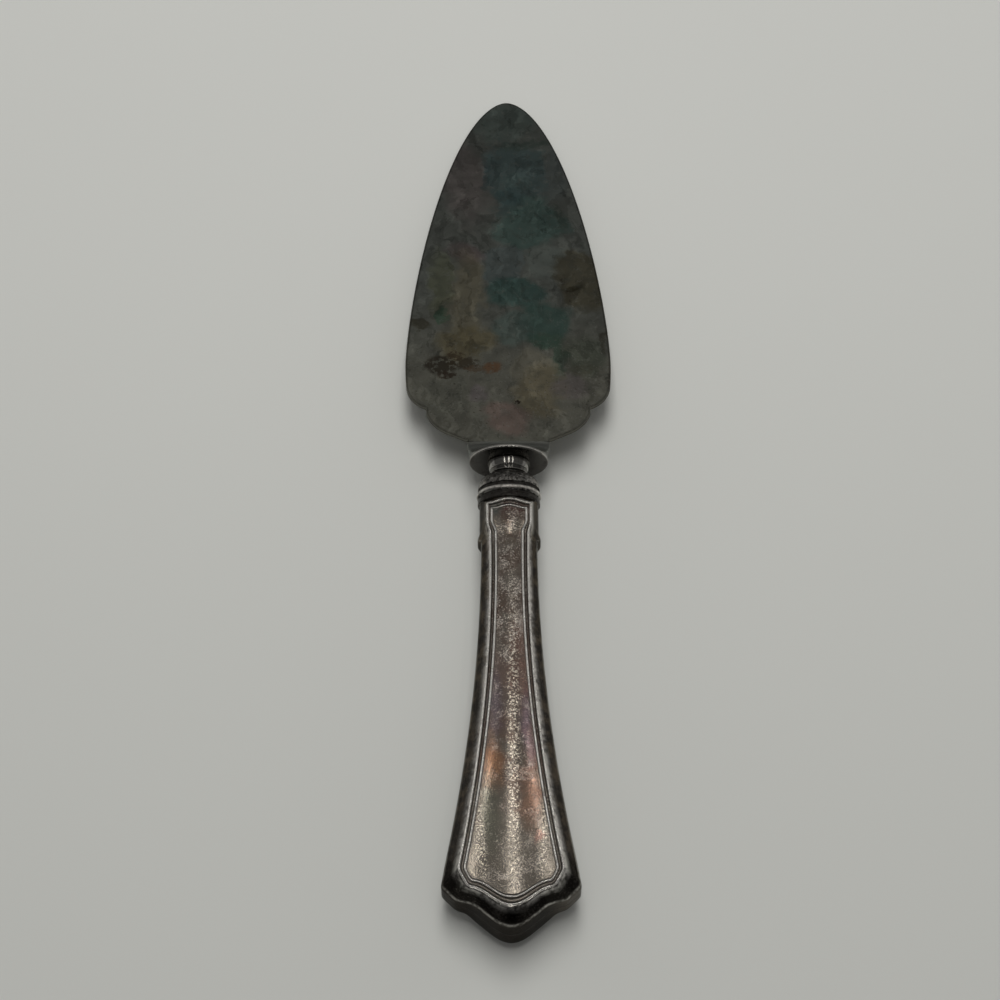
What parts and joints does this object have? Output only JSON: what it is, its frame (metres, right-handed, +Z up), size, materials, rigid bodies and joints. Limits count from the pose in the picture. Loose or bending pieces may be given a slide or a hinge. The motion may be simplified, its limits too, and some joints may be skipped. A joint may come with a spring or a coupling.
{
  "type": "cake server",
  "caption": "Cake server with a flat notched ogive blade, a flanged bolster and beaded ferrule, and a hollow panelled handle that flares to a bracket-shaped faceted butt",
  "frame": {"origin": "middle of the bounding box's underside, on the table that the server lies on", "axes": "+Y runs along the server to the blade's tip, +X to the right seen from the handle, +Z up from the table"},
  "size_m": [0.052, 0.2556, 0.0186],
  "materials": {
    "blade_plate": "tarnished silver plate, satin, with a faint coloured patina",
    "bolster_plate": "tarnished silver plate, polished",
    "tang_metal": "plain drawn rod, dull",
    "ferrule_plate": "tarnished silver plate, worn and slightly pitted",
    "handle_plate": "tarnished silver plate, polished and worn, toned brown in places",
    "filling": "dull cast cement"
  },
  "bodies": {
    "root": {"blade": "blade_plate", "bolster": "bolster_plate", "tang": "tang_metal", "ferrule": "ferrule_plate", "upper_shell": "handle_plate", "lower_shell": "handle_plate", "filler": "filling"}
  },
  "joints": []
}
